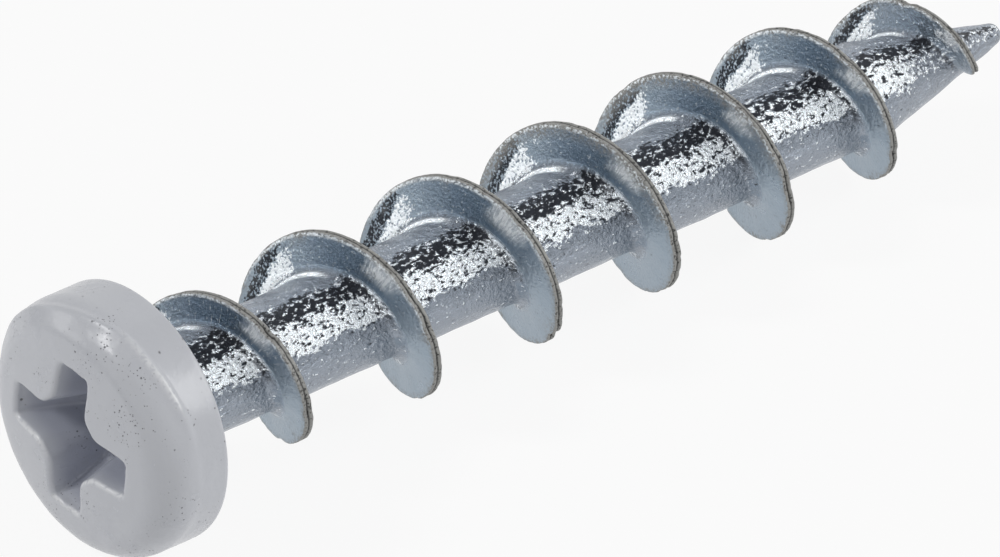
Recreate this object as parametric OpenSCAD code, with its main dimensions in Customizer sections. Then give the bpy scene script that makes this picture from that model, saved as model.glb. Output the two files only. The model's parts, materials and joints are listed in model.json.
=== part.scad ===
// Wide-flight drywall anchor: a one-piece steel screw with a white painted pan head,
// a cross recess, a zinc-plated shank, seven deep coarse flights and a small spike tip.
// It lies on its side as it comes to rest, on the rim of its head and on a flight.
// The tip points along +X and a little down, and +Z is up. The origin is on the screw's axis,
// in the plane of the bearing face under the head.

/* [Head] */
// Diameter of the head at its straight side
head_d = 8.25; // [7.65:0.1:10.05]
// Height from the bearing face to the top of the crown
head_h = 2.8; // [2.65:0.05:3.6]
// Height of the straight side
side_h = 1.3; // [0.8:0.05:1.4]
// Radius of the shoulder between the side and the crown
shoulder_r = 1.2; // [0.6:0.05:1.25]
// Radius of the round on the edge of the bearing face
edge_r = 0.1; // [0.05:0.05:0.3]
// Diameter of the cone under the head, where the bearing face begins
neck_d = 6; // [5.8:0.1:6.6]
// Height of the cone under the head
neck_h = 0.35; // [0.2:0.05:0.6]

/* [Driver recess] */
// Width across opposite wings at the crown
recess_span = 5.2; // [4.6:0.1:5.6]
// Width of one wing
wing_w = 1.2; // [0.9:0.05:1.5]
// Depth of the recess below the crown
recess_depth = 2.2; // [1.4:0.1:2.4]
// Slope of the wings' outer ends from the axis
wing_slope = 26.5; // [20:0.5:30]
// Diameter of the round well between the wings at the crown
well_d = 2.7; // [2.2:0.1:3.2]
// Diameter of the round well at its floor
well_floor_d = 1.5; // [1:0.1:2]
// Radius of the corners between two wings
corner_r = 0.35; // [0.1:0.05:0.5]
// Turn of the recess about the axis
recess_turn = 5; // [0:1:90]

/* [Shank] */
// Length from the bearing face to the end of the tip
length = 35.35; // [34.35:0.1:42.35]
// Diameter of the shank between the flights
shank_d = 3.3; // [2.8:0.05:3.8]
// Length of the taper that ends in the tip
taper_l = 6; // [4.5:0.1:6.5]
// Radius of the blunt end of the tip
tip_r = 0.38; // [0.1:0.01:0.45]

/* [Flights] */
// Outer diameter of the full flights
thread_d = 6.3; // [5.6:0.05:7]
// Distance from one flight to the next
pitch = 4.82; // [4.2:0.01:5.2]
// Angle of the crest about the axis at the bearing face, from straight down
thread_start = 325; // [0:1:360]
// Width of the flat crest
crest_w = 0.25; // [0.15:0.01:0.4]
// Slope of each flank from square to the axis
flank_slope = 5; // [2:0.5:12]
// Radius of the fillet at the foot of each flank
root_r = 0.38; // [0.2:0.01:0.5]
// Turns from the bearing face to the first flight's end
lead_in = 0.15; // [0.13:0.01:0.3]
// Turns over which the first flight rises from the shank
rise_turns = 0.15; // [0.1:0.01:0.3]
// Share of the full diameter that the first flight starts with
first_share = 0.84; // [0.7:0.01:1]
// Turns from the bearing face to the first full flight
full_from = 2; // [1:0.1:3]
// Turns from the bearing face to the end of the full flights
full_to = 5.1; // [4:0.1:5.4]
// Turns from the bearing face to the last flight's drop
drop_from = 6.5; // [6:0.05:6.6]
// Share of the full diameter at the last flight's drop
last_share = 0.77; // [0.6:0.01:1]
// Turns from the bearing face to the blunt end of the last flight
flight_turns = 6.85; // [6.75:0.01:6.9]
// Share of the full diameter at the blunt end
end_share = 0.51; // [0.4:0.01:0.6]

/* [Hidden] */
$fn = 96;

head_r = head_d / 2;
shank_r = shank_d / 2;
thread_r = thread_d / 2;
overlap = 0.5; // how far the shank reaches into the head
clear = 1; // how far a cut reaches past the face that it opens

// The crown is one arc that meets the shoulder's arc smoothly
shoulder_x = head_r - shoulder_r;
crown_rise = head_h - side_h;
crown_r = (shoulder_x ^ 2 + crown_rise ^ 2 - shoulder_r ^ 2) / (2 * (crown_rise - shoulder_r));
crown_tilt = atan2(shoulder_x, side_h - head_h + crown_r);
crown_edge_r = crown_r * sin(crown_tilt);

// The taper meets the round end of the tip smoothly
taper_z = length - taper_l;
tip_z = length - tip_r;
taper_span = tip_z - taper_z;
taper_slope = atan2(shank_r, taper_span) - asin(tip_r / norm([shank_r, taper_span]));

// The screw rests on the rim of its head and on the last full flight that points down
rest_turn = floor(full_to + thread_start / 360) - thread_start / 360;
rest_tilt = atan((head_r - thread_r) / (rest_turn * pitch + edge_r));

steps = 36; // facets around the axis
root_steps = 3; // straight stretches in a root fillet
tip_steps = 4; // straight stretches in the round end of the tip
neck_dive = 0.15; // how far the cone under the head reaches into the shank
start_rise = 0.15; // height of the first flight's blunt start on the shank
start_share = (shank_r + start_rise) / thread_r;
fade_power = 1.4; // how late the last flights lose their height
last = round((flight_turns - lead_in) * steps); // the last step of the flights
tangent_z = tip_z + tip_r * sin(taper_slope); // where the taper meets the round end

// Share of the full diameter at a number of turns from the bearing face
function crest_share(turn) =
    turn < full_to
        ? lookup(turn, [[lead_in, start_share], [lead_in + rise_turns, first_share], [full_from, 1]])
        : turn < drop_from
            ? 1 - (1 - last_share) * ((turn - full_to) / (drop_from - full_to)) ^ fade_power
            : lookup(turn, [[drop_from, last_share], [flight_turns, end_share]]);

function crest_r(turn) = thread_r * crest_share(turn);

// Radius of the shank and its taper at a height above the bearing face
function core_r(z) = z < taper_z ? shank_r : shank_r - (z - taper_z) * tan(taper_slope);

function turn_at(i) = lead_in + i / steps;

// One side of a flight's section, from its foot to its crest: half width and height on the shank
function flight_side(turn) =
    let (
        rise = crest_r(turn) - core_r(turn * pitch),
        fillet = min(root_r, rise / 2),
        flank_w = crest_w / 2 + (rise - fillet) * tan(flank_slope)
    )
    concat(
        [for (k = [0 : root_steps])
            let (a = 90 * (1 - k / root_steps))
            [flank_w + fillet * (1 - cos(a)), fillet * (1 - sin(a))]],
        [[crest_w / 2, rise]]
    );

function foot_w(turn) = flight_side(turn)[0][0];

// Height of the point that divides the bare shank above a flight, on the taper's edge where it can be
function bare_z(i) =
    let (
        low = turn_at(i) * pitch + foot_w(turn_at(i)),
        high = i + steps > last ? tangent_z : turn_at(i + steps) * pitch - foot_w(turn_at(i + steps)),
        edge = taper_z > low + edge_r && taper_z < high - edge_r
    )
    edge ? taper_z : (low + high) / 2;

// A flight's section and the bare shank's point above it, as heights and radii
function station(i) =
    let (
        z = turn_at(i) * pitch,
        side = flight_side(turn_at(i)),
        n = len(side),
        bare = bare_z(i)
    )
    concat(
        [for (p = side) [z - p[0], core_r(z - p[0]) + p[1]]],
        [for (k = [n - 1 : -1 : 0]) let (p = side[k]) [z + p[0], core_r(z + p[0]) + p[1]]],
        [[bare, core_r(bare)]]
    );

function around_axis(point, turn) =
    let (a = thread_start + 360 * turn)
    [point[1] * cos(a), point[1] * sin(a), point[0]];

function quad(a, b, c, d) = [[a, b, c], [a, c, d]];

function fan(apex, others) = [for (k = [0 : len(others) - 2]) [apex, others[k], others[k + 1]]];

module head_section() {
    // straight side with its rounded lower edge
    square([head_r - edge_r, side_h]);
    translate([0, edge_r]) square([head_r, side_h - edge_r]);
    translate([head_r - edge_r, edge_r]) circle(r = edge_r);
    // shoulder and crown
    square([shoulder_x, side_h + shoulder_r * cos(crown_tilt)]);
    intersection() {
        translate([shoulder_x, side_h]) circle(r = shoulder_r);
        translate([0, side_h - edge_r]) square([head_r, head_h]);
    }
    intersection() {
        translate([0, head_h - crown_r]) circle(r = crown_r);
        translate([0, side_h]) square([crown_edge_r, head_h]);
    }
}

// Outline of the four wings, with round corners between them
module wing_outline() {
    offset(r = -corner_r) offset(delta = corner_r) {
        square([2 * head_r, wing_w], center = true);
        square([wing_w, 2 * head_r], center = true);
    }
}

// The recess is cut from the crown, which is at the foot of this module's own frame
module driver_recess() {
    span_r = recess_span / 2;
    floor_r = span_r - recess_depth * tan(wing_slope);
    rotate(recess_turn) {
        intersection() {
            translate([0, 0, -clear])
                cylinder(h = recess_depth + clear, r1 = span_r + clear * tan(wing_slope), r2 = floor_r);
            translate([0, 0, -2 * clear]) linear_extrude(recess_depth + 3 * clear) wing_outline();
        }
        well_slope = (well_d - well_floor_d) / 2 / recess_depth;
        translate([0, 0, -clear])
            cylinder(h = recess_depth + clear, r1 = well_d / 2 + clear * well_slope, r2 = well_floor_d / 2);
    }
}

// The head, with the low cone that joins it to the shank
module head() {
    low_r = shank_r - neck_dive;
    low_z = neck_h * (neck_d / 2 - low_r) / (neck_d / 2 - shank_r);
    color("whitesmoke") {
        mirror([0, 0, 1]) rotate_extrude() head_section();
        rotate_extrude() polygon([[0, -overlap], [neck_d / 2, -overlap], [neck_d / 2, 0], [low_r, low_z], [0, low_z]]);
    }
}

// Shank, flights, taper and round tip, as one strip of facets that winds around the axis.
// Each step has the points of a flight's section and one on the bare shank above it.
module threaded_shank() {
    n = 2 * (root_steps + 2);
    stations = [for (i = [0 : last]) [for (p = station(i)) around_axis(p, turn_at(i))]];
    tip_angles = [for (k = [0 : tip_steps - 1]) taper_slope + (90 - taper_slope) * k / tip_steps];
    rings = concat(
        [[-overlap, shank_r]],
        [for (a = tip_angles) [tip_z + tip_r * sin(a), tip_r * cos(a)]]
    );
    pole = (last + 1) * (n + 1) + len(rings) * steps;

    function at(i, j) = i * (n + 1) + j;
    function on_ring(k, i) = (last + 1) * (n + 1) + k * steps + i % steps;

    color("silver") polyhedron(
        points = concat(
            [for (s = stations) each s],
            [for (r = rings, i = [0 : steps - 1]) around_axis(r, turn_at(i))],
            [[0, 0, length]]
        ),
        faces = concat(
            // flights and the lower half of the bare shank
            [for (i = [0 : last - 1], j = [0 : n - 1])
                each quad(at(i, j), at(i, j + 1), at(i + 1, j + 1), at(i + 1, j))],
            // upper half of the bare shank, up to the next flight
            [for (i = [0 : last - steps - 1])
                each quad(at(i, n), at(i + steps, 0), at(i + steps + 1, 0), at(i + 1, n))],
            // from inside the head to the first flight
            [[for (i = [0 : steps - 1]) on_ring(0, i)]],
            [for (i = [0 : steps - 2]) each quad(on_ring(0, i), at(i, 0), at(i + 1, 0), on_ring(0, i + 1))],
            fan(at(steps - 1, 0), [at(steps, 0), at(0, n), at(0, n - 1), at(0, 0), on_ring(0, 0), on_ring(0, steps - 1)]),
            // blunt ends of the flights
            [[for (j = [n - 1 : -1 : 0]) at(0, j)]],
            [[for (j = [0 : n - 1]) at(last, j)]],
            // from the last flight to the round tip
            [for (i = [last - steps + 1 : last - 1])
                each quad(at(i, n), on_ring(1, i), on_ring(1, i + 1), at(i + 1, n))],
            fan(at(last - steps + 1, n),
                [at(last - steps, n), at(last, 0), at(last, n - 1), at(last, n), on_ring(1, last), on_ring(1, last + 1)]),
            [for (k = [1 : tip_steps - 1], i = [0 : steps - 1])
                each quad(on_ring(k, i), on_ring(k + 1, i), on_ring(k + 1, i + 1), on_ring(k, i + 1))],
            [for (i = [0 : steps - 1]) [on_ring(tip_steps, i), pole, on_ring(tip_steps, i + 1)]]
        )
    );
}

module anchor_screw() {
    rotate([0, 90 + rest_tilt, 0]) {
        difference() {
            union() {
                head();
                threaded_shank();
            }
            translate([0, 0, -head_h]) driver_recess();
        }
    }
}

anchor_screw();
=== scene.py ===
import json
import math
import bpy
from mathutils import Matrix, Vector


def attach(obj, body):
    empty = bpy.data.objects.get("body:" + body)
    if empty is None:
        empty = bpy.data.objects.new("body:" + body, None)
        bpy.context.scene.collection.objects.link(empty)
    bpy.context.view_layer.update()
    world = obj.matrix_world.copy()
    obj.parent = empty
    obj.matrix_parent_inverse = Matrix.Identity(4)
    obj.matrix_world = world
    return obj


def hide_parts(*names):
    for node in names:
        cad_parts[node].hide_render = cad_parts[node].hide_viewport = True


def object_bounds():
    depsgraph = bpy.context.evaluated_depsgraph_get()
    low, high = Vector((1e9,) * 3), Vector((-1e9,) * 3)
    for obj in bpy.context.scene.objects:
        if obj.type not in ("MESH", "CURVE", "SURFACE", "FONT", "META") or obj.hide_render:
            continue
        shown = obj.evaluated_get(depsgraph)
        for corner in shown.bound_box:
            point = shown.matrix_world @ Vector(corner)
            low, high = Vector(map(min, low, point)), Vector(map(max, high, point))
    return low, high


bl_info = {
    "name": "Drywall anchor",
    "version": (1, 0, 0),
    "blender": (4, 5, 0),
    "location": "View3D > Sidebar > Anchor",
    "description": "Builds a steel drywall anchor with a painted head and a zinc-plated threaded shank",
    "category": "Object",
}

import bpy
import numpy as np
from bpy.props import FloatProperty, FloatVectorProperty, IntProperty, PointerProperty
from mathutils import Vector, noise

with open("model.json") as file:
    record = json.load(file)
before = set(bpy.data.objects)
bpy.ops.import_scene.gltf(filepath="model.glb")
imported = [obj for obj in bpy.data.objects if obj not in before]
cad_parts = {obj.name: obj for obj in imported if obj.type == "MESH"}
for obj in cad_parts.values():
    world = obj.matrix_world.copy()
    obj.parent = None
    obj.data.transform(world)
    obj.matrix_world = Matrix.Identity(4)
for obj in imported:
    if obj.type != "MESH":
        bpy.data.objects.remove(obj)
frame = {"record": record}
cad_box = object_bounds()

NODE = "anchor_screw"
BODY = "root"
FULL_TURN = 2 * math.pi


# Sizes and colours that a user would change

def length(name, description, millimetres):
    return FloatProperty(name=name, description=description, default=millimetres / 1000,
                         unit="LENGTH", precision=5)


def share(name, description, value):
    return FloatProperty(name=name, description=description, default=value, min=0.0, max=1.0,
                         subtype="FACTOR")


def number(name, description, value):
    return FloatProperty(name=name, description=description, default=value)


def count(name, description, value):
    return IntProperty(name=name, description=description, default=value, min=1)


def colour(name, description, red, green, blue):
    return FloatVectorProperty(name=name, description=description, default=(red, green, blue),
                               subtype="COLOR", min=0.0, max=1.0)


def angle(name, description, degrees):
    return FloatProperty(name=name, description=description, default=math.radians(degrees),
                         subtype="ANGLE")


class HeadSizes(bpy.types.PropertyGroup):
    width: length("Width", "Diameter of the head at its straight side", 8.25)
    height: length("Height", "Height from the bearing face to the top of the crown", 2.8)
    side: length("Side", "Height of the straight side", 1.3)
    shoulder: length("Shoulder", "Radius of the shoulder between the side and the crown", 1.2)
    edge: length("Edge", "Radius of the round on the edge of the bearing face", 0.1)
    neck: length("Neck", "Diameter of the cone under the head", 6.0)
    neck_height: length("Neck height", "Height of the cone under the head", 0.35)
    recess_span: length("Recess span", "Width across opposite wings of the recess", 5.2)
    wing: length("Wing width", "Width of one wing of the recess", 1.2)
    wing_slope: angle("Wing slope", "Slope of the wings' outer ends from the axis", 26.5)
    recess_depth: length("Recess depth", "Depth of the recess below the crown", 2.2)
    well: length("Well", "Diameter of the round well between the wings at the crown", 2.7)
    well_floor: length("Well floor", "Diameter of the round well at its floor", 1.5)
    recess_turn: angle("Recess turn", "Turn of the recess about the axis", 5)
    paint_lip: length("Paint lip", "Radius of the paint's round edge along the recess", 0.2)
    ridge: length("Paint ridge", "Height of the ridge of paint where the shoulder meets the side", 0.09)
    paint_wave: length("Paint wave", "Height of the slow waves in the thick paint", 0.02)
    around: count("Faces around", "Faces around the head", 288)


class ShankSizes(bpy.types.PropertyGroup):
    reach: length("Reach", "Length from the bearing face to the end of the tip", 35.35)
    core: length("Core", "Diameter of the shank between the flights", 3.3)
    taper: length("Taper", "Length of the taper that ends in the tip", 6.0)
    tip: length("Tip", "Radius of the blunt end of the tip", 0.38)
    pitch: length("Pitch", "Distance from one flight to the next", 4.82)
    start: angle("Thread start", "Angle of the crest at the bearing face, from straight down", 325)
    land: length("Crest width", "Width of the flat crest of a flight", 0.25)
    flank: angle("Flank slope", "Slope of each flank from square to the axis", 5)
    fillet: length("Root fillet", "Radius of the fillet at the foot of each flight", 0.38)
    seam: length("Crest seam", "Depth of the rolled seam along the crest", 0.05)
    hammer: length("Hammered grain", "Height of the hammered grain on the shank", 0.02)
    around: count("Faces a turn", "Faces in one turn of the thread", 144)


class FinishColours(bpy.types.PropertyGroup):
    zinc: colour("Zinc", "Bright zinc plate on the shank", 0.311, 0.346, 0.396)
    zinc_flank: colour("Flank zinc", "Smooth zinc plate on the flanks", 0.306, 0.371, 0.436)
    # Blue zinc: the colour of a painted blue reflection on the upper flanks and of painted shade in the
    # near roots
    zinc_blue_reflection_and_shade: colour("Blue zinc", "Blue tint of the plate on the upper flanks", 0.15, 0.205, 0.27)
    # Ridge zinc: the bright ridges of the grain, and also the colour of painted highlights on the shank
    # and flights
    zinc_ridge_and_highlight: colour("Ridge zinc", "Brightest zinc on the grain's ridges", 0.93, 0.97, 1.0)
    # Dull zinc: the dull hollows and pits of the grain, and also the colour of painted dark reflections
    # and painted shade
    zinc_dull_and_shade: colour("Dull zinc", "Zinc in the hollows of the grain", 0.022, 0.024, 0.03)
    rim: colour("Rim", "Rolled steel on the crests, where the plate is thin", 0.30, 0.30, 0.29)
    rim_seam: colour("Rim seam", "Dark seam along the crests", 0.025, 0.025, 0.025)
    paint: colour("Paint", "Thick white paint on the head", 0.652, 0.669, 0.714)
    paint_shade: colour("Paint shade", "Shade of the paint down in the recess", 0.46, 0.48, 0.55)
    # Colour of a painted highlight: lighter paint along the paint's ridge and on the recess's lip
    paint_highlight: colour("Paint gloss", "Paint along its polished creases", 0.92, 0.93, 0.95)
    speck: colour("Specks", "Dark pinholes and dust in the paint", 0.06, 0.06, 0.07)


class StageSettings(bpy.types.PropertyGroup):
    lens: number("Lens", "Focal length of the camera in millimetres", 283.264)
    tilt: angle("Camera tilt", "How far the camera looks down", 33.6544)
    swing: angle("Camera swing", "Turn of the camera about the vertical", -41.2263)
    floor_colour: colour("Floor", "Pale floor under the anchor", 0.9, 0.9, 0.9)
    key: number("Key light", "Power of the lamp over the head's end in watts", 0.2)
    side: number("Side light", "Power of the lamp at the right of the camera in watts", 0.36)
    low: number("Low light", "Power of the low lamp behind the head in watts", 0.05)
    ambient: share("Ambient", "Strength of the even light from all sides", 0.3)


# Geometry in the anchor's own frame: the axis is z, the bearing face is at 0, the tip is at +z

def seat_axis():
    """Direction of the screw's axis from the bearing face to the tip."""
    mounts = frame["record"]["mounts"]
    return Vector(next(mount["axis"] for mount in mounts if mount["name"] == "head_seat"))


def laid_down(points):
    """Turns points from the anchor's own frame to how it lies at rest."""
    axis = np.array(seat_axis())
    down = np.array([axis[2], 0.0, -axis[0]])
    side = np.array([0.0, 1.0, 0.0])
    return points[:, 0:1] * down + points[:, 1:2] * side + points[:, 2:3] * axis


def merged(points, faces):
    """Joins points that lie in one place, and drops faces that have closed up."""
    keys = np.round(points * 1e7).astype(np.int64)
    _, first, place = np.unique(keys, axis=0, return_index=True, return_inverse=True)
    place = place.reshape(-1)
    kept = []
    for face in faces:
        corners = [int(place[corner]) for corner in face]
        corners = [c for k, c in enumerate(corners) if c != corners[k - 1]]
        if len(corners) > 2 and len(set(corners)) == len(corners):
            kept.append(corners)
    return first, kept


def fractal(points, scale, octaves=3, seed=0.0):
    """Smooth noise between about -1 and 1 at each point; scale is features per millimetre."""
    shift = Vector((seed, seed * 0.7, -seed * 1.3))
    values = [
        noise.fractal(Vector(p) + shift, 1.0, 2.0, octaves, noise_basis="PERLIN_ORIGINAL")
        for p in points * (1000 * scale)
    ]
    return np.array(values)


def smooth_step(values, low, high):
    t = np.clip((values - low) / (high - low), 0.0, 1.0)
    return t * t * (3 - 2 * t)


def steps(number_of_steps):
    """Even shares from the first step above 0 up to 1."""
    return np.linspace(0, 1, number_of_steps + 1)[1:]


def outline_steps(x, y):
    """The step from each point's last neighbour to its next one along a closed outline."""
    dx = np.roll(x, -1) - np.roll(x, 1)
    dy = np.roll(y, -1) - np.roll(y, 1)
    return dx, dy, np.hypot(dx, dy)


def falling_off(level, widths):
    """1 where the level is 0, and less to each side of it over that side's width."""
    return np.exp(-(level / np.where(level > 0, *widths)) ** 2)


def new_mesh(name, points, faces):
    mesh = bpy.data.meshes.new(name)
    mesh.from_pydata(laid_down(points).tolist(), [], faces)
    mesh.validate()
    mesh.shade_smooth()
    return mesh


def vertex_normals(mesh):
    normals = np.empty(len(mesh.vertices) * 3)
    mesh.vertex_normals.foreach_get("vector", normals)
    return normals.reshape(-1, 3)


def displace(mesh, amounts):
    places = np.empty(len(mesh.vertices) * 3)
    mesh.vertices.foreach_get("co", places)
    places = places.reshape(-1, 3) + vertex_normals(mesh) * amounts[:, None]
    mesh.vertices.foreach_set("co", places.reshape(-1))
    mesh.update()


def store(mesh, name, values):
    layer = mesh.attributes.new(name, "FLOAT", "POINT")
    layer.data.foreach_set("value", np.asarray(values, dtype=np.float32))


def outward(points, faces):
    """Whether the faces' winding makes a positive volume."""
    total = 0.0
    for face in faces:
        a = points[face[0]]
        for k in range(1, len(face) - 1):
            total += float(np.dot(a, np.cross(points[face[k]], points[face[k + 1]])))
    return total > 0


def clear_named(names):
    for name in names:
        old = bpy.data.objects.get(name)
        if old:
            bpy.data.objects.remove(old)


def linked(name, data):
    made = bpy.data.objects.new(name, data)
    bpy.context.scene.collection.objects.link(made)
    return made


def add_piece(name, mesh, material):
    clear_named([name])
    mesh.materials.append(material)
    piece = linked(name, mesh)
    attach(piece, BODY)
    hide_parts(NODE)


# The painted head

# How far the forged head leans from square to the axis
HEAD_LEAN = (0.012, -0.022)

# Width of a wing at the crown, and how much it narrows down to the floor, in shares of its width
WING_AT_CROWN = 1.06
WING_NARROWING = 0.22

# How softly the wings' sides turn into their ends, and into the round well
WING_CORNER = 0.00032
WELL_CORNER = 0.00016

# Radius of the round between the recess's wall and its floor
FLOOR_ROUND = 0.00012

# The neck's cone goes on into the shank, to this share of its height and to this radius
NECK_SHARE = 1.11
NECK_END = 0.0015

# Share of the points round the head that crowd along the recess's outline
CROWDED = 0.6

# Height of the ridge of paint above the bearing face, its rise towards the far side, its bend and
# how far it strays
RIDGE_LEVEL = 0.00185
RIDGE_SLOPE = 0.12
RIDGE_BEND = 18.0
RIDGE_STRAY = 0.00012

# Half widths towards the crown and towards the bearing face, of the ridge and of the painted highlight on
# it
RIDGE_WIDTHS = (0.0002, 0.0001)
HIGHLIGHT_WIDTHS = (0.00012, 0.00006)

# The ridge runs outside this share of the head's width
RIDGE_INSIDE = 0.4

# Strength of the painted highlight on the first rings of the paint's lip
LIP_HIGHLIGHT = (0.2, 0.8, 1.0, 0.8, 0.2)


class HeadShape:
    """The head's turned profile and its cross recess, from the head's sizes."""

    def __init__(self, sizes):
        self.s = sizes
        self.radius = sizes.width / 2
        shoulder_x = self.radius - sizes.shoulder
        rise = sizes.height - sizes.side
        self.crown = (shoulder_x ** 2 + rise ** 2 - sizes.shoulder ** 2) / (2 * (rise - sizes.shoulder))
        self.crown_tilt = math.atan2(shoulder_x, sizes.side - sizes.height + self.crown)
        self.crown_edge = self.crown * math.sin(self.crown_tilt)
        self.shoulder_x = shoulder_x
        self.floor_z = -sizes.height + sizes.recess_depth
        self.around = self.spread_angles()

    def crown_z(self, radius):
        top = -self.s.height + self.crown
        return top - np.sqrt(self.crown ** 2 - np.minimum(radius, self.crown_edge) ** 2)

    def recess_radius(self, angles, depth):
        """Distance from the axis to the recess's wall, with the corners between wings rounded."""
        s = self.s
        quarter = FULL_TURN / 4
        off = np.abs((angles - s.recess_turn + quarter / 2) % quarter - quarter / 2)
        down = depth / s.recess_depth
        end = s.recess_span / 2 - depth * math.tan(s.wing_slope)
        well = (s.well + (s.well_floor - s.well) * down) / 2
        half_wing = s.wing / 2 * (WING_AT_CROWN - WING_NARROWING * down)
        side = half_wing / np.maximum(np.sin(off), 1e-4)
        wing = -WING_CORNER * np.log(np.exp(-end / WING_CORNER) + np.exp(-side / WING_CORNER))
        near_corner = np.exp(-((side - end) / (3 * WING_CORNER)) ** 2)
        wing = wing + WING_CORNER * math.log(2) * near_corner * 0.5
        return WELL_CORNER * np.log(np.exp(wing / WELL_CORNER) + np.exp(well / WELL_CORNER))

    def spread_angles(self):
        """Angles that crowd where the recess's outline runs along the radius."""
        fine = np.linspace(0, FULL_TURN, 7201)
        radius = self.recess_radius(fine, 0.0005)
        x, y = radius * np.cos(fine), radius * np.sin(fine)
        run = np.concatenate([[0], np.cumsum(np.hypot(np.diff(x), np.diff(y)))])
        blend = CROWDED * run / run[-1] + (1 - CROWDED) * fine / FULL_TURN
        return np.interp(np.arange(self.s.around) / self.s.around, blend, fine)

    def wall(self, depth_share, push=0.0):
        """One ring of the recess's wall, pushed outwards square to the wall."""
        a = self.around
        depth = np.full_like(a, depth_share * self.s.recess_depth)
        r = self.recess_radius(a, depth)
        x, y = r * np.cos(a), r * np.sin(a)
        dx, dy, run = outline_steps(x, y)
        return x + push * dy / run, y - push * dx / run

    def floor_rings(self):
        """The recess's floor and the round at its edge."""
        floor = np.full_like(self.around, self.floor_z)
        floor_x, floor_y = self.wall(1.0, -FLOOR_ROUND)
        rings = [(floor_x * t, floor_y * t, floor) for t in (0.2, 0.4, 0.6, 0.8, 1.0)]
        for degrees in (30, 60, 90):
            bend = math.radians(degrees)
            x, y = self.wall(1.0, FLOOR_ROUND * math.sin(bend) - FLOOR_ROUND)
            rings.append((x, y, floor - FLOOR_ROUND * (1 - math.cos(bend))))
        return rings

    def wall_rings(self):
        """The recess's wall, up to the paint's lip."""
        s = self.s
        lip_share = s.paint_lip / s.recess_depth
        lip_x, lip_y = self.wall(lip_share)
        top = self.crown_z(np.hypot(lip_x, lip_y)) + s.paint_lip
        low = self.floor_z - FLOOR_ROUND
        rings = []
        for t in steps(15):
            z = low + (top - low) * t
            depth_share = float(np.mean((z + s.height) / s.recess_depth))
            x, y = self.wall(max(depth_share, lip_share * 0.9))
            rings.append((x, y, z))
        return rings

    def lip_rings(self, base_x, base_y):
        """The paint's round lip along the recess."""
        lip = self.s.paint_lip
        dx, dy, run = outline_steps(base_x, base_y)
        rings = []
        for degrees in (15, 30, 45, 60, 75, 90):
            bend = math.radians(degrees)
            push = lip * (1 - math.cos(bend))
            x = base_x + push * dy / run
            y = base_y - push * dx / run
            z = self.crown_z(np.hypot(x, y)) + lip * (1 - math.sin(bend))
            rings.append((x, y, z))
        return rings

    def lip_highlight(self, base_x, base_y):
        """Painted highlight on the parts of the lip that face up at rest, one strength for each of the
        lip's first rings.
        """
        _, dy, run = outline_steps(base_x, base_y)
        facing_up = smooth_step(dy / run, 0.45, 0.8)
        return np.concatenate([facing_up * strength for strength in LIP_HIGHLIGHT])

    def crown_rings(self, lip_x, lip_y):
        """The crown, from the lip's outline to the circle where the shoulder starts."""
        a = self.around
        rings = []
        for t in steps(14):
            x = lip_x * (1 - t) + self.crown_edge * np.cos(a) * t
            y = lip_y * (1 - t) + self.crown_edge * np.sin(a) * t
            rings.append((x, y, self.crown_z(np.hypot(x, y))))
        return rings

    def turned_rings(self):
        """The shoulder, the side, the bearing face and the neck."""
        s = self.s
        a = self.around
        profile = []
        for t in steps(30):
            tilt = self.crown_tilt + (math.pi / 2 - self.crown_tilt) * t
            profile.append((self.shoulder_x + s.shoulder * math.sin(tilt),
                            -s.side - s.shoulder * math.cos(tilt)))
        for t in steps(14):
            profile.append((self.radius, -s.side + (s.side - s.edge) * t))
        for degrees in (30, 60, 90):
            bend = math.radians(degrees)
            profile.append((self.radius - s.edge * (1 - math.cos(bend)), -s.edge * (1 - math.sin(bend))))
        for t in steps(4):
            profile.append((self.radius - s.edge + (s.neck / 2 - self.radius + s.edge) * t, 0.0))
        for t in steps(4):
            profile.append((s.neck / 2 + (NECK_END - s.neck / 2) * t, s.neck_height * NECK_SHARE * t))
        return [(r * np.cos(a), r * np.sin(a), np.full_like(a, z)) for r, z in profile]

    def rings(self):
        """All rings from the middle of the recess's floor to the foot of the neck."""
        rings = self.floor_rings() + self.wall_rings()
        base_x, base_y = rings[-1][:2]
        self.lip_start = len(rings) * self.s.around
        self.highlight_on_lip = self.lip_highlight(base_x, base_y)
        rings += self.lip_rings(base_x, base_y)
        rings += self.crown_rings(*rings[-1][:2])
        return rings + self.turned_rings()


def head_mesh(sizes):
    shape = HeadShape(sizes)
    rings = shape.rings()
    n = sizes.around
    points = [np.stack(ring, axis=1) for ring in rings]
    first, last = rings[0][2][0], rings[-1][2][0]
    points = np.concatenate(points + [np.array([[0, 0, first], [0, 0, last]])])
    faces = []
    for row in range(len(rings) - 1):
        for k in range(n):
            a, b = row * n + k, row * n + (k + 1) % n
            faces.append([a, b, b + n, a + n])
    pole, foot = len(points) - 2, len(points) - 1
    base = (len(rings) - 1) * n
    for k in range(n):
        faces.append([pole, (k + 1) % n, k])
        faces.append([foot, base + k, base + (k + 1) % n])
    if not outward(points, faces):
        faces = [face[::-1] for face in faces]
    points[:, 2] += points[:, 0] * HEAD_LEAN[0] + points[:, 1] * HEAD_LEAN[1]
    mesh = new_mesh("painted_head", points, faces)
    add_paint(mesh, points, shape)
    return mesh


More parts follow.
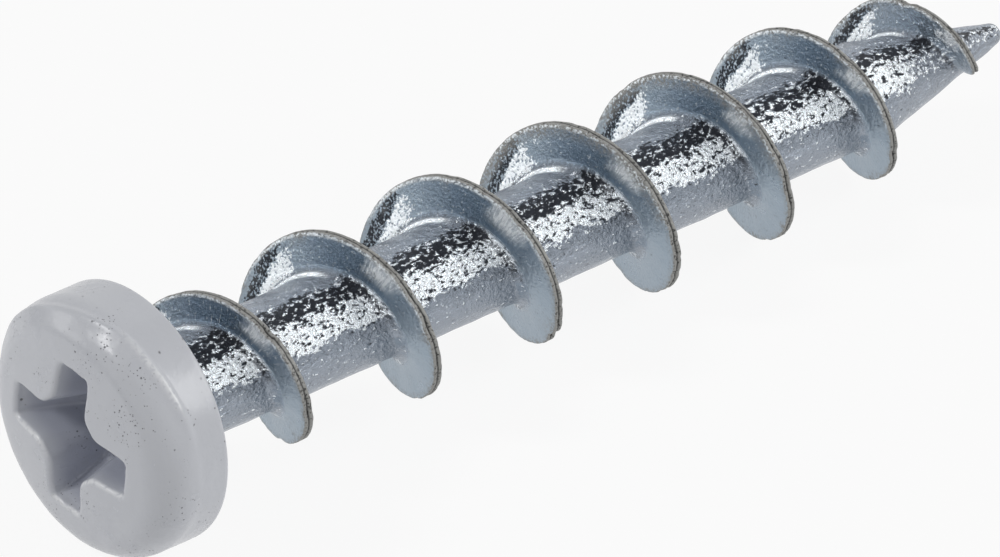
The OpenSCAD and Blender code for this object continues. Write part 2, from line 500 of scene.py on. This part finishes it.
def add_paint(mesh, points, shape):
    """The paint's waves and its ridge, and the masks that its material reads."""
    sizes = shape.s
    aside, height = points[:, 1], -points[:, 2]
    radius = np.hypot(points[:, 0], points[:, 1])
    wave = fractal(points, 0.55, 3, 4.0) * sizes.paint_wave
    grain = fractal(points, 3.2, 2, 9.0) * sizes.paint_wave * 0.16
    soft = smooth_step(height, 0.0001, 0.0006)

    stray = fractal(points, 0.35, 2, 2.0) * RIDGE_STRAY
    level = height - RIDGE_LEVEL - RIDGE_SLOPE * aside + RIDGE_BEND * aside ** 2 - stray
    outside = radius > sizes.width * RIDGE_INSIDE
    upper = smooth_step(-points[:, 0] / np.maximum(radius, 1e-5), 0.2, 0.6)
    ridge = falling_off(level, RIDGE_WIDTHS) * outside * sizes.ridge * (0.15 + 0.85 * upper)
    displace(mesh, (wave + grain) * soft + ridge)

    # A painted highlight: lighter paint along part of the ridge on the upper side of the head, and on the
    # lip's upward faces
    turned = np.degrees(np.arctan2(-points[:, 0], aside))
    gloss = falling_off(level, HIGHLIGHT_WIDTHS) * outside
    gloss = gloss * smooth_step(turned, 100, 128) * (1 - smooth_step(turned, 143, 149))
    gloss[shape.lip_start:shape.lip_start + shape.highlight_on_lip.size] += shape.highlight_on_lip
    store(mesh, "gloss", gloss)

    depth = np.clip((points[:, 2] - shape.crown_z(radius)) / sizes.recess_depth, 0, 1)
    inside = (radius < sizes.recess_span / 2 + 0.0004) & (points[:, 2] < -0.0003)
    store(mesh, "recess", np.where(inside, depth, 0.0))


# The threaded shank

# Radius of the crest and how far it strays along the axis, in millimetres, at numbers of turns
CREST = (
    (0.25, 2.62, 0.06), (0.5, 2.71, 0.12), (0.75, 2.81, 0.1), (1, 2.81, 0), (1.25, 2.9, -0.06),
    (1.5, 2.98, -0.01), (1.75, 3.09, 0.05), (2, 3.14, 0), (2.25, 3.08, 0), (2.5, 3.07, 0.05),
    (2.75, 3.17, 0.08), (3, 3.12, 0.05), (3.25, 3.1, 0.01), (3.5, 3.13, 0.02), (3.75, 3.17, 0.05),
    (4, 3.15, 0.02), (4.25, 3.16, -0.05), (4.5, 3.14, 0), (4.75, 3.13, 0.03), (5, 3.12, 0),
    (5.25, 3.15, -0.05), (5.5, 3.03, -0.06), (5.75, 2.89, -0.07), (6, 2.73, -0.14),
    (6.25, 2.7, -0.19), (6.5, 2.48, -0.12), (6.65, 2.06, -0.07), (6.8, 1.64, -0.05), (6.86, 1.5, -0.05),
)

# Turns at which the flights start and end
FLIGHT_START = 0.15
FLIGHT_END = 6.855

# Rise at which a flight carries the full marks of its crest
FULL_RISE = 0.0003

# Round on the corners of the crest, and how far the crest wanders along the axis
CREST_CORNER = 0.00004
CREST_WANDER = 0.00002

# Depths of the wide and of the fine nicks in the crest
NICKS = (0.0002, 0.00007)

# Height of the fine grain on the crests
RIM_GRAIN = 0.000012

# Steps across the bare shank between two flights
BARE_STEPS = 18

# The shank starts inside the head, at this height, after this many turns of the strip
HIDDEN_START = -0.0004
LEAD_IN = 1.15

# The strip ends this far before the round of the tip
TIP_JOIN = 0.0002


class ShankShape:
    """The shank, its taper and the helical flights, from the shank's sizes."""

    def __init__(self, sizes):
        self.s = sizes
        self.core = sizes.core / 2
        self.taper_z = sizes.reach - sizes.taper
        self.tip_z = sizes.reach - sizes.tip
        span = self.tip_z - self.taper_z
        self.slope = math.atan2(self.core, span) - math.asin(sizes.tip / math.hypot(self.core, span))
        self.tangent_z = self.tip_z + sizes.tip * math.sin(self.slope)

    def core_radius(self, z):
        return self.core - np.maximum(z - self.taper_z, 0.0) * math.tan(self.slope)

    def rise(self, turn):
        """Height of the crest above the shank."""
        turns, radii, _ = zip(*CREST)
        crest = np.interp(turn, turns, radii) / 1000
        full = crest - self.core_radius(turn * self.s.pitch)
        grow = np.interp(turn, (FLIGHT_START - 0.012, FLIGHT_START, 0.22, 0.3), (0, 0.16, 0.62, 1))
        fade = np.interp(turn, (FLIGHT_END - 0.012, FLIGHT_END + 0.02), (1, 0))
        return np.maximum(full, 0.0) * grow * fade

    def stations(self, turns):
        """Heights, radii and masks of each station's points, from one flight to the next."""
        s = self.s
        wobble = np.array([noise.noise(Vector((t * 3.1, 2.7, 0.4))) for t in turns])
        rough = np.array([noise.noise(Vector((t * 29.0, 8.1, 1.7))) for t in turns])
        fine = np.array([noise.noise(Vector((t * 83.0, 3.3, 5.2))) for t in turns])
        rise = self.rise(turns)
        standing = np.clip(rise / FULL_RISE, 0.0, 1.0)
        nick = np.maximum(rough - 0.28, 0) * NICKS[0] + np.maximum(fine - 0.3, 0) * NICKS[1]
        rise = np.maximum(rise - nick * standing, 0.0)
        low = np.cos(s.start + FULL_TURN * turns) * 0.5 + 0.5
        land = s.land * (1.05 + 0.5 * low + 0.22 * wobble + 0.12 * rough)
        fillet = np.minimum(s.fillet, rise / 2)
        flank_w = land / 2 + (rise - fillet) * math.tan(s.flank)
        corner = np.minimum(CREST_CORNER, rise / 4)
        known, _, strays = zip(*CREST)
        stray = np.interp(turns, known, strays) / 1000
        middle = turns * s.pitch + (stray + CREST_WANDER * wobble) * standing
        seam = s.seam * standing * np.clip(0.75 + 1.2 * rough, 0.15, 1.3)

        # One side of a flight, foot to crest: distance from its middle, height, crest and seam masks
        side = []
        for degrees in np.linspace(90, 0, 8):
            bend = math.radians(degrees)
            side.append((flank_w + fillet * (1 - math.cos(bend)), fillet * (1 - math.sin(bend)), 0.0, 0.0))
        top = rise - corner
        for t in steps(12):
            side.append((flank_w + (land / 2 - flank_w) * t, fillet + (top - fillet) * t, 0.0, 0.0))
        side.append((land / 2 - 0.3 * corner, rise - 0.3 * corner, 0.6, 0.0))
        side.append((land / 2 - corner, rise, 1.0, 0.0))
        side.append((land * 0.26, rise + 0.000004 * standing, 1.0, 0.0))
        side.append((land * 0.12, rise - 0.25 * seam, 1.0, 0.1))
        side.append((land * 0.05, rise - 0.8 * seam, 1.0, 0.8))

        across = [(-w, h, in_land, in_seam) for w, h, in_land, in_seam in side]
        across.append((0 * rise, rise - seam, 1.0, 1.0))
        across += reversed(side)
        zs, rs, lands, seams, rises = [], [], [], [], []
        for w, h, in_land, in_seam in across:
            z = middle + w
            zs.append(z)
            rs.append(self.core_radius(z) + h)
            lands.append(in_land * standing)
            seams.append(in_seam * standing)
            rises.append(np.clip(h / np.maximum(rise, 0.0002), 0, 1) * standing)
        return [np.stack(part, axis=1) for part in (zs, rs, lands, seams, rises)]

    def grid(self):
        """Points, faces and masks of the strip that winds from inside the head to the taper's end."""
        s = self.s
        n = s.around
        low_z, high_z = HIDDEN_START, self.tangent_z - TIP_JOIN
        begin = -int(LEAD_IN * n)
        end = int((high_z / s.pitch + 0.1) * n) + n + 2
        turns = np.arange(begin, end + 1) / n
        zs, rs, lands, seams, rises = self.stations(turns)
        last = len(turns) - 1
        gap_low = zs[:, -1]
        gap_high = np.concatenate([zs[n:, 0], gap_low[last - n + 1:] + s.pitch * 0.9])
        gap = gap_high - gap_low
        extra = [gap_low + gap * k / (BARE_STEPS + 1) for k in range(1, BARE_STEPS + 1)]
        extra = np.stack(extra, axis=1)
        blank = np.zeros_like(extra)
        zs = np.concatenate([zs, extra], axis=1)
        rs = np.concatenate([rs, self.core_radius(extra)], axis=1)
        lands, seams, rises = (np.concatenate([m, blank], axis=1) for m in (lands, seams, rises))
        outside = (zs < low_z) | (zs > high_z)
        zs = np.clip(zs, low_z, high_z)
        rs = np.where(outside, self.core_radius(zs), rs)
        angles = (s.start + FULL_TURN * turns)[:, None]
        m = zs.shape[1]
        points = np.stack([rs * np.cos(angles), rs * np.sin(angles), zs], axis=2).reshape(-1, 3)
        faces = []
        for i in range(last):
            base = i * m
            for j in range(m - 1):
                a = base + j
                faces.append((a, a + m, a + m + 1, a + 1))
            if i + 1 + n <= last:
                a = base + m - 1
                up = (i + n) * m
                faces.append((a, a + m, up + m, up))
        masks = [mask.reshape(-1) for mask in (lands, seams, rises)]
        return points, faces, masks, begin, low_z, high_z

    def tip_rings(self, high_z):
        """Height and radius of each ring from the end of the strip to just short of the tip's end."""
        rows = []
        for z in np.linspace(high_z, self.tangent_z, 4)[1:]:
            rows.append((z, float(self.core_radius(np.array(z)))))
        for t in steps(8)[:-1]:
            bend = self.slope + (math.pi / 2 - self.slope) * t
            rows.append((self.tip_z + self.s.tip * math.sin(bend), self.s.tip * math.cos(bend)))
        return rows


def shank_mesh(sizes):
    shape = ShankShape(sizes)
    points, faces, masks, begin, low_z, high_z = shape.grid()
    n = sizes.around
    angles = sizes.start + FULL_TURN * (np.arange(n) + begin) / n
    ring = np.stack([np.cos(angles), np.sin(angles)], axis=1)

    def add_ring(all_points, z, radius):
        flat = np.concatenate([ring * radius, np.full((n, 1), z)], axis=1)
        return np.concatenate([all_points, flat]), len(all_points)

    points, below = add_ring(points, high_z, float(shape.core_radius(np.array(high_z))))
    for z, radius in shape.tip_rings(high_z):
        points, above = add_ring(points, z, radius)
        for k in range(n):
            j = (k + 1) % n
            faces.append((below + k, below + j, above + j, above + k))
        below = above
    points, foot = add_ring(points, low_z, shape.core)
    points = np.concatenate([points, [[0, 0, sizes.reach], [0, 0, low_z]]])
    pole, cap = len(points) - 2, len(points) - 1
    for k in range(n):
        j = (k + 1) % n
        faces.append((below + k, below + j, pole))
        faces.append((foot + j, foot + k, cap))
    pad = np.zeros(len(points) - len(masks[0]))
    masks = [np.concatenate([mask, pad]) for mask in masks]
    first, faces = merged(points, faces)
    points = points[first]
    lands, seams, rises = (mask[first] for mask in masks)
    if not outward(points, faces):
        faces = [face[::-1] for face in faces]
    mesh = new_mesh("threaded_shank", points, faces)
    displace(mesh, hammered(sizes, points, lands, rises))
    store(mesh, "land", lands)
    store(mesh, "seam", seams)
    store(mesh, "rise", rises)
    radius = np.maximum(np.hypot(points[:, 0], points[:, 1]), 1e-5)
    store(mesh, "up", -points[:, 0] / radius)
    store(mesh, "far", points[:, 1] / radius)
    return mesh


def hammered(sizes, points, lands, rises):
    """Height of the hammered grain, weaker on the flights and left out inside the head."""
    bare = 1 - smooth_step(rises, 0.02, 0.3)
    dents = fractal(points * np.array([1.0, 1.0, 0.62]), 1.9, 3, 1.0)
    slow = fractal(points, 0.5, 2, 6.0)
    rim = fractal(points, 4.5, 2, 3.0)
    height = sizes.hammer * (dents * (0.35 + 0.65 * bare) + 0.5 * slow * (1 - bare))
    height = height * (1 - 0.6 * lands) + lands * rim * RIM_GRAIN
    return np.where(points[:, 2] < 0.0, 0.0, height)


# Materials

# Distances from the bearing face, in millimetres, over which the plate's look changes
FIRST_FLIGHT = (4.0, 6.5)
LAST_FLIGHT = (29.0, 31.5)
TARNISH_STARTS = (13.5, 15.5)
TARNISH_ENDS = (23.0, 25.0)

# Scales of the brush strokes round the flights and along the anchor
STROKES_ROUND = 32.0
STROKES_ALONG = 2.4

# Heights of the grain in the plate and in the paint
PLATE_GRAIN = 0.00022
PAINT_GRAIN = 0.00004


class Value:
    """One output of a look's nodes. An expression on values adds its Math nodes."""

    def __init__(self, look, socket):
        self.look = look
        self.socket = socket

    def maths(self, operation, *values):
        return self.look.node("ShaderNodeMath", {"operation": operation}, values)

    def __add__(self, other):
        return self.maths("ADD", self, other)

    def __sub__(self, other):
        return self.maths("SUBTRACT", self, other)

    def __rsub__(self, other):
        return self.maths("SUBTRACT", other, self)

    def __mul__(self, other):
        return self.maths("MULTIPLY", self, other)

    __radd__ = __add__
    __rmul__ = __mul__

    def above(self, low, high):
        """0 below low, 1 above high, and smooth in between."""
        inputs = {"Value": self, "From Min": low, "From Max": high}
        return self.look.node("ShaderNodeMapRange", {"interpolation_type": "SMOOTHSTEP"}, inputs)

    def below(self, low, high):
        """1 below low, 0 above high, and smooth in between."""
        return 1 - self.above(low, high)

    def held(self):
        """Kept between 0 and 1."""
        settings = {"operation": "ADD", "use_clamp": True}
        return self.look.node("ShaderNodeMath", settings, (self, 0.0))


class Look:
    """The nodes of a material or of the world, and the one method that adds them."""

    def __init__(self, owner):
        self.owner = owner
        owner.use_nodes = True
        self.tree = owner.node_tree
        self.tree.nodes.clear()

    def node(self, kind, settings=None, inputs=(), output=0):
        made = self.tree.nodes.new(kind)
        for key, value in (settings or {}).items():
            setattr(made, key, value)
        pairs = inputs.items() if isinstance(inputs, dict) else enumerate(inputs)
        for key, value in pairs:
            if isinstance(value, Value):
                self.tree.links.new(value.socket, made.inputs[key])
            else:
                made.inputs[key].default_value = value
        return Value(self, made.outputs[output]) if made.outputs else None

    def place(self):
        """Position on the anchor in millimetres."""
        spot = self.node("ShaderNodeTexCoord", output="Object")
        return self.node("ShaderNodeVectorMath", {"operation": "SCALE"}, {0: spot, "Scale": 1000.0})

    def along(self, spot):
        """Distance from the bearing face along the level line, in millimetres."""
        return self.node("ShaderNodeSeparateXYZ", None, (spot,))

    def stretched(self, spot, x, y, z):
        return self.node("ShaderNodeVectorMath", {"operation": "MULTIPLY"}, (spot, (x, y, z)))

    def noise(self, spot, scale, detail, roughness, distortion=0.0):
        return self.node("ShaderNodeTexNoise", {"noise_dimensions": "3D"},
                         {"Vector": spot, "Scale": scale, "Detail": detail, "Roughness": roughness,
                          "Distortion": distortion})

    def strokes(self, spot, up, far):
        """Noise drawn out from the shank to the rim, as the rolling dies leave it on the flights."""
        ring = self.node("ShaderNodeCombineXYZ", None, (up, far, 0.0))
        slow = self.stretched(spot, STROKES_ALONG, STROKES_ALONG, STROKES_ALONG)
        drawn = self.node("ShaderNodeVectorMath", {"operation": "MULTIPLY_ADD"},
                          (ring, (STROKES_ROUND, STROKES_ROUND, STROKES_ROUND), slow))
        return self.noise(drawn, 1.0, 4.0, 0.65, 0.5)

    def cells(self, spot, scale):
        """Distance to the middle of the nearest cell, for round specks."""
        return self.node("ShaderNodeTexVoronoi", {"feature": "F1"}, {"Vector": spot, "Scale": scale},
                         "Distance")

    def attribute(self, name):
        return self.node("ShaderNodeAttribute", {"attribute_name": name}, output="Fac")

    def blend(self, factor, first, second):
        """Mixes two colours."""
        pair = [c if isinstance(c, Value) else (*c, 1.0) for c in (first, second)]
        return self.node("ShaderNodeMix", {"data_type": "RGBA"}, {0: factor, 6: pair[0], 7: pair[1]}, 2)

    def bump(self, height, distance, strength):
        inputs = {"Height": height, "Distance": distance, "Strength": strength}
        return self.node("ShaderNodeBump", None, inputs)

    def shiny(self, **inputs):
        """Ends the nodes in a Principled shader with the given inputs."""
        named = {key.replace("_", " ").title(): value for key, value in inputs.items()}
        return self.close(self.node("ShaderNodeBsdfPrincipled", None, named))

    def matt(self, colour_values):
        """Ends the nodes in a plain diffuse shader."""
        inputs = {"Color": (*colour_values, 1.0)}
        return self.close(self.node("ShaderNodeBsdfDiffuse", None, inputs))

    def close(self, shader, kind="ShaderNodeOutputMaterial"):
        self.node(kind, None, {"Surface": shader})
        return self.owner


def new_look(name):
    """The look of a new material, which takes the place of one with the same name."""
    old = bpy.data.materials.get(name)
    if old:
        bpy.data.materials.remove(old)
    return Look(bpy.data.materials.new(name))


def zinc_plate(colours):
    look = new_look("zinc_plate")
    spot = look.place()
    land, seam, rise, up, far = (look.attribute(name) for name in ("land", "seam", "rise", "up", "far"))
    crinkle = look.noise(look.stretched(spot, 0.75, 1.2, 1.2), 6.2, 4.0, 0.66, 0.2)
    grain = look.noise(spot, 11.0, 2.0, 0.6)
    patch = look.noise(spot, 0.9, 3.0, 0.55)
    rays = look.noise(look.stretched(spot, 2.0, 1.0, 1.0), 4.5, 4.0, 0.65, 0.5)
    strokes = look.strokes(spot, up, far)
    along = look.along(spot)
    first = along.below(*FIRST_FLIGHT)
    ending = along.above(*LAST_FLIGHT)
    flank = rise.above(0.08, 0.3) * (1 - 0.45 * ending)

    # Which way a spot faces: high is 1 on top and behind is 1 on the far side, with a slow stray
    swell = 0.5 * (patch - 0.5)
    high = up + swell
    behind = far + swell
    # away is the far side and the underside, which get painted dark reflections and painted highlights
    away = (behind.above(0.75, 0.95) + (0 - up).above(0.7, 0.9)).held()

    # Painted blue reflection on the upper flanks, stronger on the first flight, and painted blue shade in
    # the near roots of the flights
    upper = high.above(0.3, 0.75) * behind.below(-0.1, 0.8) * flank
    blue = (upper * (0.5 + 0.6 * rays + 0.3 * strokes) + 0.5 * upper * first).held()
    body = look.blend(blue, look.blend(flank, colours.zinc, colours.zinc_flank), colours.zinc_blue_reflection_and_shade)
    root = rise.above(0.005, 0.04) * rise.below(0.15, 0.3) * high.below(-0.1, 0.25)
    near_root_shade = root * (0 - behind).above(0.78, 0.92) * patch.above(0.4, 0.5)
    body = look.blend(near_root_shade.held() * 0.6, body, colours.zinc_blue_reflection_and_shade)

    # Dark hollows of the grain and dark pits; painted dark reflections along the top of the shank and on
    # the far side and underside; a painted dark band on the far flanks; painted shade in the root creases
    # Painted dark reflection along the top of the shank
    top_dark_reflection = high.above(0.3, 0.6) * behind.below(-0.28, 0.06) * behind.above(-0.7, -0.36)
    dark_reflections = (top_dark_reflection + 0.7 * away).held()
    # Painted highlight along the upper side of the shank, which also thins out the dark hollows there
    shine_highlight = high.above(0.28, 0.52) * (1 - 0.7 * behind.above(-0.5, -0.3)) * behind.below(-0.2, 0.05)
    shine_highlight = shine_highlight * (1 - 0.55 * ending)
    hollow = (crinkle - 0.18 * dark_reflections - 0.115 * shine_highlight).below(0.29, 0.36) * (1 - flank)
    slant = rise + 0.9 * (behind - 1)
    # Painted dark band across the far flanks
    band = slant.above(0.38, 0.52) * slant.below(0.74, 0.86) * behind.above(0.58, 0.78)
    band_dark_reflection = (grain - 0.2 * band).below(0.32, 0.4) * band.above(0.0, 0.3)
    pits = grain.below(0.3, 0.4) * patch.above(0.4, 0.65)
    # Painted shade in the roots of the flights, on the upper near side
    crease_shade = rise.above(0.0, 0.05) * rise.below(0.1, 0.18) * high.above(0.15, 0.4)
    crease_shade = crease_shade * behind.below(-0.35, 0.0) * grain.below(0.5, 0.62)
    dark = (0.8 * crease_shade + hollow + band_dark_reflection + 0.6 * pits).held()
    body = look.blend(dark * 0.97, body, colours.zinc_dull_and_shade)

    # Bright ridges of the grain, with painted highlights added along the shank's upper side and on the far
    # side and underside; painted highlights on the flanks, broken up by brush marks; bright flecks on the
    # upper flanks; painted highlights along the flights' far feet and upper edges
    ridge = (crinkle + 0.24 * (shine_highlight + 0.5 * away)).above(0.62, 0.68) * (1 - flank)
    # Painted highlight on the far flanks, broken by the grain
    glint_highlight = rise.above(0.08, 0.2) * slant.below(0.36, 0.52) * behind.above(0.52, 0.72)
    gleam_highlight = (grain + 0.3 * glint_highlight).above(0.66, 0.76) * glint_highlight.above(0.0, 0.3)
    # Painted highlight on the upper near flanks, drawn out in brush marks, with more on the first flight
    sheet = high.above(0.56, 0.78) * behind.below(-0.58, -0.34) * rise.above(0.35, 0.7)
    stroke_highlight = sheet * (0.6 + strokes.above(0.42, 0.66))
    stroke_highlight = (stroke_highlight + strokes.above(0.58, 0.7) * first * upper * 0.6).held()
    flecks = flank * grain.above(0.56, 0.7) * high.above(0.1, 0.4) * rays.above(0.45, 0.6)
    # Painted highlight along the foot of the flights on the far side
    foot = rise.above(0.0, 0.03) * rise.below(0.08, 0.14) * behind.above(0.0, 0.3)
    ridge = (ridge + gleam_highlight + stroke_highlight + 0.5 * flecks + foot).held()
    body = look.blend(ridge * (1 - dark) * 0.95, body, colours.zinc_ridge_and_highlight)
    # Painted highlight along the upper edges of the flanks, under the crest, broken by the grain
    edge = rise.above(0.88, 0.95) * (1 - land) * high.above(0.1, 0.5) * grain.above(0.35, 0.5)
    body = look.blend((edge * 0.8).held(), body, colours.zinc_ridge_and_highlight)

    # Worn plate on the crests and on the rims, and the dark seam along the crests
    tarnish = rise.above(0.6, 0.95) * patch.above(0.52, 0.64) * grain.below(0.45, 0.6)
    middle = along.above(*TARNISH_STARTS) * along.below(*TARNISH_ENDS)
    brown = rise.above(0.6, 0.85) * middle * (1.2 - grain.above(0.4, 0.65)) * high.above(0.1, 0.4)
    tarnish = tarnish + brown
    worn = rise.above(0.82, 1.0) * grain.below(0.42, 0.6) * 0.6 + tarnish * 0.5
    worn = (land * (0.75 + 0.5 * grain) + worn).held()
    body = look.blend(worn, body, colours.rim)
    lines = (seam * (0.5 + crinkle) + land * grain.below(0.34, 0.46)).held()
    body = look.blend(lines * 0.85, body, colours.rim_seam)

    # The grain's height, which is low on the rolled flanks
    calm = (1 - 0.72 * flank) * (1 - 0.6 * foot) * (0.35 + 0.65 * high.above(0.0, 0.35))
    brushed = 0.15 * flank * high.above(0.1, 0.5) + 0.35 * sheet
    height = crinkle * calm * (1 - 0.35 * shine_highlight) + 0.12 * grain + brushed * strokes
    normal = look.bump(height, PLATE_GRAIN, 1.0)
    rough = 0.14 + 0.1 * patch + 0.32 * worn + 0.1 * flank
    metal = 1 - 0.55 * stroke_highlight * (1 - worn)
    return look.shiny(base_color=body, metallic=metal, roughness=rough, normal=normal)


def white_paint(colours):
    look = new_look("white_paint")
    spot = look.place()
    cloud = look.noise(spot, 0.9, 3.0, 0.55)
    dust = look.noise(spot, 0.7, 2.0, 0.5)
    size = look.noise(spot, 6.0, 1.0, 0.5)

    # Dark specks in three sizes, which gather in patches
    dots = look.cells(spot, 4.6).below(0.08, 0.2) * size.above(0.5, 0.58) * dust.above(0.44, 0.56)
    small = look.cells(spot, 9.0).below(0.1, 0.25) * size.above(0.42, 0.5) * dust.above(0.5, 0.6)
    marks = look.cells(look.stretched(spot, 1.0, 0.7, 1.0), 1.3).below(0.04, 0.09)
    speck = (dots + small + marks * size.above(0.3, 0.45)).held()

    shade = (cloud.above(0.5, 0.75) * 0.12 + look.attribute("recess").above(0.0, 0.35) * 0.95).held()
    body = look.blend(shade, colours.paint, colours.paint_shade)
    body = look.blend(speck * 0.8, body, colours.speck)
    # Painted highlight: lighter paint along the ridge and on the lip of the recess
    gloss = look.attribute("gloss") * size.above(0.3, 0.55)
    body = look.blend(gloss.held() * 0.75, body, colours.paint_highlight)
    peel = look.noise(spot, 2.2, 2.0, 0.5)
    grit = look.noise(spot, 14.0, 2.0, 0.5)
    normal = look.bump(peel + 0.1 * grit - speck, PAINT_GRAIN, 0.4)
    rough = 0.2 + 0.12 * cloud + 0.3 * speck
    return look.shiny(base_color=body, metallic=0.0, roughness=rough, normal=normal)


# Stage

# The lamps and the cards face this point of the anchor
MIDDLE = Vector((0.016, 0.0, 0.0))
LAMP_DISTANCE = 0.3
FLOOR_REACH = 3.0
CAMERA_PLACE = (-0.117574, -0.150354, 0.131494)
SENSOR_WIDTH = 36.0

# Each lamp's name, which its power in the settings has too, its direction and its size
LAMPS = (
    ("key", (-0.63, 0.28, 0.7), (0.065, 0.055)),
    ("side", (0.59, -0.63, 0.48), (0.2, 0.14)),
    ("low", (-0.69, 0.7, 0.2), (0.1, 0.08)),
)

# Each card's name, direction, size, distance and colour
CARDS = (
    ("flag_over", (0.55, -0.08, 0.8), (0.2, 0.16), 0.3, (0.8, 0.8, 0.8)),
    ("flag_low", (-0.77, 0.63, 0.02), (0.16, 0.012), 0.07, (0.01, 0.01, 0.012)),
)


def seen_white(look):
    """1 for rays from the camera and for what metal or glass shows."""
    names = ("Is Camera Ray", "Is Glossy Ray", "Is Transmission Ray")
    camera, glossy, through = (look.node("ShaderNodeLightPath", output=name) for name in names)
    return camera.maths("MAXIMUM", camera, glossy.maths("MAXIMUM", glossy, through))


def floor_material(stage):
    look = new_look("pale_floor")
    surface = look.node("ShaderNodeBsdfDiffuse", None, {"Color": (*stage.floor_colour, 1.0)})
    glow = look.node("ShaderNodeEmission", None, {"Color": (1.0, 1.0, 1.0, 1.0), "Strength": 1.0})
    parts = {0: seen_white(look) * 0.9, 1: surface, 2: glow}
    return look.close(look.node("ShaderNodeMixShader", None, parts))


def flat_mesh(name, half_x, half_y, z, material):
    mesh = bpy.data.meshes.new(name)
    corners = [(-half_x, -half_y, z), (half_x, -half_y, z), (half_x, half_y, z), (-half_x, half_y, z)]
    mesh.from_pydata(corners, [], [(0, 1, 2, 3)])
    mesh.materials.append(material)
    return mesh


def add_floor(stage):
    low = cad_box[0][2]
    floor = linked("floor", flat_mesh("floor", FLOOR_REACH, FLOOR_REACH, low, floor_material(stage)))


def add_world(stage):
    world = bpy.data.worlds.new("studio")
    bpy.context.scene.world = world
    look = Look(world)
    seen = {0: seen_white(look), 2: stage.ambient, 3: 1.0}
    strength = look.node("ShaderNodeMix", {"data_type": "FLOAT"}, seen)
    back = look.node("ShaderNodeBackground", None, {"Color": (1.0, 1.0, 1.0, 1.0), "Strength": strength})
    look.close(back, "ShaderNodeOutputWorld")


def faced(item, direction, distance):
    """Puts a lamp or card out in a direction, facing the anchor."""
    out = Vector(direction).normalized()
    item.location = MIDDLE + out * distance
    item.rotation_euler = (-out).to_track_quat("-Z", "Y").to_euler()


def add_lamp(name, direction, size, power):
    data = bpy.data.lights.new(name, "AREA")
    data.shape = "RECTANGLE"
    data.size, data.size_y = size
    data.energy = power
    faced(linked(name, data), direction, LAMP_DISTANCE)


def add_card(name, direction, size, distance, shade):
    """A studio card that only shows as a band in the bright metal and the paint."""
    card = linked(name, flat_mesh(name, size[0] / 2, size[1] / 2, 0.0, new_look(name).matt(shade)))
    faced(card, direction, distance)
    card.visible_camera = False
    card.visible_diffuse = False
    card.visible_shadow = False


def add_camera(stage):
    data = bpy.data.cameras.new("camera")
    data.lens = stage.lens
    data.sensor_width = SENSOR_WIDTH
    data.clip_start = 0.001
    camera = linked("camera", data)
    camera.location = CAMERA_PLACE
    camera.rotation_euler = (math.pi / 2 - stage.tilt, 0.0, stage.swing)
    bpy.context.scene.camera = camera


# Operators and panel

class ANCHOR_OT_painted_head(bpy.types.Operator):
    """Build the white painted head with its cross recess"""

    bl_idname = "anchor.painted_head"
    bl_label = "Painted head"

    def execute(self, context):
        scene = context.scene
        mesh = head_mesh(scene.anchor_head)
        add_piece("painted_head", mesh, white_paint(scene.anchor_finish))
        return {"FINISHED"}


class ANCHOR_OT_threaded_shank(bpy.types.Operator):
    """Build the zinc-plated shank with its wide flights and its tip"""

    bl_idname = "anchor.threaded_shank"
    bl_label = "Threaded shank"

    def execute(self, context):
        scene = context.scene
        mesh = shank_mesh(scene.anchor_shank)
        add_piece("threaded_shank", mesh, zinc_plate(scene.anchor_finish))
        return {"FINISHED"}


class ANCHOR_OT_stage(bpy.types.Operator):
    """Set up the floor, the lamps, the world and the camera"""

    bl_idname = "anchor.stage"
    bl_label = "Stage"

    def execute(self, context):
        stage = context.scene.anchor_stage
        clear_named(["floor", "camera"] + [row[0] for row in LAMPS + CARDS])
        add_floor(stage)
        add_world(stage)
        for name, direction, size in LAMPS:
            add_lamp(name, direction, size, getattr(stage, name))
        for card in CARDS:
            add_card(*card)
        add_camera(stage)
        context.scene.view_settings.view_transform = "Standard"
        return {"FINISHED"}


class ANCHOR_PT_panel(bpy.types.Panel):
    """Lists the steps that build the anchor and its stage, and all their settings"""

    bl_label = "Drywall anchor"
    bl_idname = "ANCHOR_PT_panel"
    bl_space_type = "VIEW_3D"
    bl_region_type = "UI"
    bl_category = "Anchor"

    def draw(self, context):
        for operator in OPERATORS:
            self.layout.operator(operator.bl_idname)
        for name, _ in SETTINGS:
            group = getattr(context.scene, name)
            box = self.layout.box()
            for key in group.__annotations__:
                box.prop(group, key)


OPERATORS = (ANCHOR_OT_painted_head, ANCHOR_OT_threaded_shank, ANCHOR_OT_stage)
SETTINGS = (
    ("anchor_head", HeadSizes),
    ("anchor_shank", ShankSizes),
    ("anchor_finish", FinishColours),
    ("anchor_stage", StageSettings),
)
CLASSES = tuple(group for _, group in SETTINGS) + OPERATORS + (ANCHOR_PT_panel,)


def register():
    for item in CLASSES:
        bpy.utils.register_class(item)
    for name, group in SETTINGS:
        setattr(bpy.types.Scene, name, PointerProperty(type=group))


def unregister():
    for name, _ in SETTINGS:
        delattr(bpy.types.Scene, name)
    for item in reversed(CLASSES):
        bpy.utils.unregister_class(item)


def main():
    register()
    bpy.ops.anchor.painted_head()
    bpy.ops.anchor.threaded_shank()
    bpy.ops.anchor.stage()


if __name__ == "__main__":
    main()
